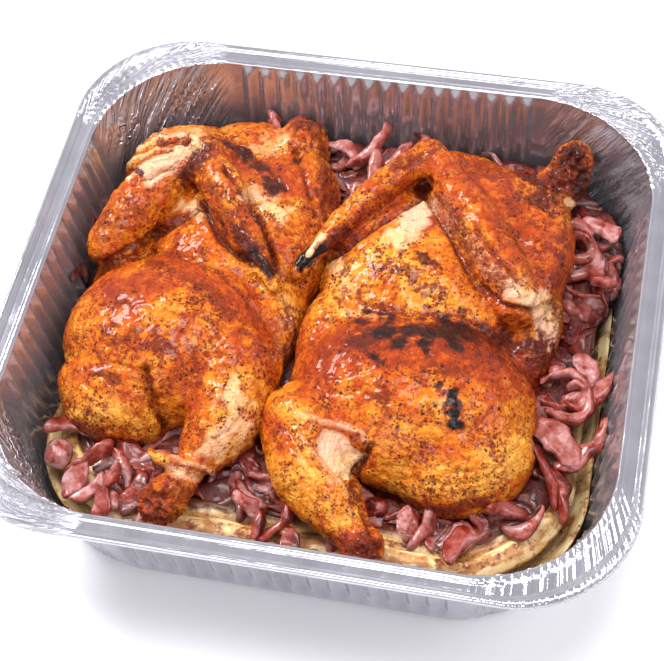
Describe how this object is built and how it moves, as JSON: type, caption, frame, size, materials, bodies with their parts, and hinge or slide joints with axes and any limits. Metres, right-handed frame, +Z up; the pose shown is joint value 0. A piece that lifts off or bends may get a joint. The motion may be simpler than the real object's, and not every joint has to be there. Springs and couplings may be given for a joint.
{
  "type": "foil tray meal",
  "caption": "Square foil tray with fluted walls and a rolled rim, filled with half roast chickens on soft red onions and flatbread.",
  "frame": {"origin": "centre of the bounding box on the tray's underside", "axes": "+X along the tray's longer side, +Y away from the drumsticks, +Z up out of the tray"},
  "size_m": [0.29, 0.277, 0.0793],
  "materials": {
    "foil": "bright pressed foil",
    "flatbread": "soft baked dough, oiled, scorched in places",
    "onion": "wet, translucent cooked onion",
    "roast_skin": "glossy roast skin with browned patches and spice"
  },
  "bodies": {
    "root": {"foil_tray": "foil", "flatbread_lower": "flatbread", "flatbread_upper": "flatbread", "onion_bed": "onion", "chicken_half_left": "roast_skin", "chicken_half_right": "roast_skin"}
  },
  "joints": []
}
